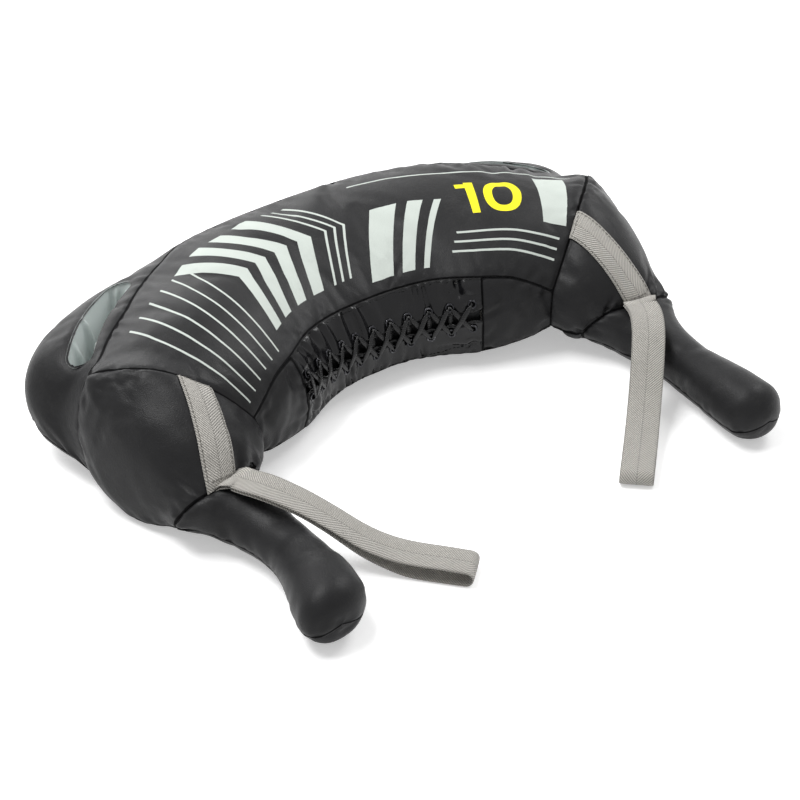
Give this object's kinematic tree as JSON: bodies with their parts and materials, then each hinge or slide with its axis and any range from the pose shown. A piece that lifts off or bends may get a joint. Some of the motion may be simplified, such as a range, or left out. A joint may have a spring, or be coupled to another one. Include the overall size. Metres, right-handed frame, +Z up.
{
  "type": "weighted crescent training bag",
  "caption": "Filled crescent-shaped training bag with a laced opening, hand slots with padded handles, end grips and free webbing loops.",
  "frame": {"origin": "on the floor, under the middle of the bag's bounding box", "axes": "+X across the crescent from the left grip to the right grip, +Y towards the convex back, +Z up from the floor"},
  "size_m": [0.651, 0.508, 0.1332],
  "materials": {
    "printed_leather": "matt black coated cloth with a pale printed pattern",
    "black_leather": "soft matt black coated cloth",
    "gloss_placket": "glossier black coated cloth",
    "satin_lining": "smooth grey satin",
    "grey_webbing": "woven herringbone webbing",
    "black_eyelet": "black enamelled metal",
    "black_lace": "flat woven polyester lace",
    "pale_wadding": "pale polyester wadding",
    "canvas": "plain undyed canvas"
  },
  "bodies": {
    "shell": {"top_panel": "printed_leather", "bottom_panel": "printed_leather", "outer_side_panel": "printed_leather", "left_inner_side_panel": "black_leather", "right_inner_side_panel": "black_leather", "placket_upper": "gloss_placket", "placket_lower": "gloss_placket", "lacing_tongue": "black_leather", "lace": "black_lace", "eyelet_upper_01": "black_eyelet", "eyelet_upper_02": "black_eyelet", "eyelet_upper_03": "black_eyelet", "eyelet_upper_04": "black_eyelet", "eyelet_upper_05": "black_eyelet", "eyelet_upper_06": "black_eyelet", "eyelet_upper_07": "black_eyelet", "eyelet_upper_08": "black_eyelet", "eyelet_upper_09": "black_eyelet", "eyelet_upper_10": "black_eyelet", "eyelet_upper_11": "black_eyelet", "eyelet_lower_01": "black_eyelet", "eyelet_lower_02": "black_eyelet", "eyelet_lower_03": "black_eyelet", "eyelet_lower_04": "black_eyelet", "eyelet_lower_05": "black_eyelet", "eyelet_lower_06": "black_eyelet", "eyelet_lower_07": "black_eyelet", "eyelet_lower_08": "black_eyelet", "eyelet_lower_09": "black_eyelet", "eyelet_lower_10": "black_eyelet", "eyelet_lower_11": "black_eyelet", "left_slot_lining": "satin_lining", "left_handle_core": "pale_wadding", "left_yoke_upper": "black_leather", "left_yoke_lower": "black_leather", "left_yoke_core": "pale_wadding", "left_sewn_webbing": "grey_webbing", "right_slot_lining": "satin_lining", "right_handle_core": "pale_wadding", "right_yoke_upper": "black_leather", "right_yoke_lower": "black_leather", "right_yoke_core": "pale_wadding", "right_sewn_webbing": "grey_webbing", "wadding_sleeve": "pale_wadding", "weight_bag_1": "canvas", "weight_bag_2": "canvas", "weight_bag_3": "canvas", "weight_bag_4": "canvas", "weight_bag_5": "canvas"},
    "left_grip": {"left_grip_upper": "black_leather", "left_grip_lower": "black_leather", "left_grip_core": "pale_wadding"},
    "right_grip": {"right_grip_upper": "black_leather", "right_grip_lower": "black_leather", "right_grip_core": "pale_wadding"},
    "left_loop": {"left_webbing_loop": "grey_webbing"},
    "right_loop": {"right_webbing_loop": "grey_webbing"}
  },
  "joints": [
    {"name": "left_grip_flex", "type": "hinge", "parent": "shell", "child": "left_grip", "pos_m": [-0.28384, -0.05553, 0.034], "axis": [0, 0, -1], "range_deg": [0, 15], "stiffness_Nm_per_rad": 2},
    {"name": "right_grip_flex", "type": "hinge", "parent": "shell", "child": "right_grip", "pos_m": [0.28384, -0.05553, 0.034], "axis": [0, 0, 1], "range_deg": [0, 15], "stiffness_Nm_per_rad": 2},
    {"name": "left_loop_lift", "type": "hinge", "parent": "shell", "child": "left_loop", "pos_m": [-0.22802, -0.07019, 0.0695], "axis": [-0.9658, -0.2593, 0], "range_deg": [0, 100]},
    {"name": "right_loop_lift", "type": "hinge", "parent": "shell", "child": "right_loop", "pos_m": [0.23702, -0.07019, 0.0695], "axis": [-0.9658, 0.2593, 0], "range_deg": [0, 100]}
  ]
}
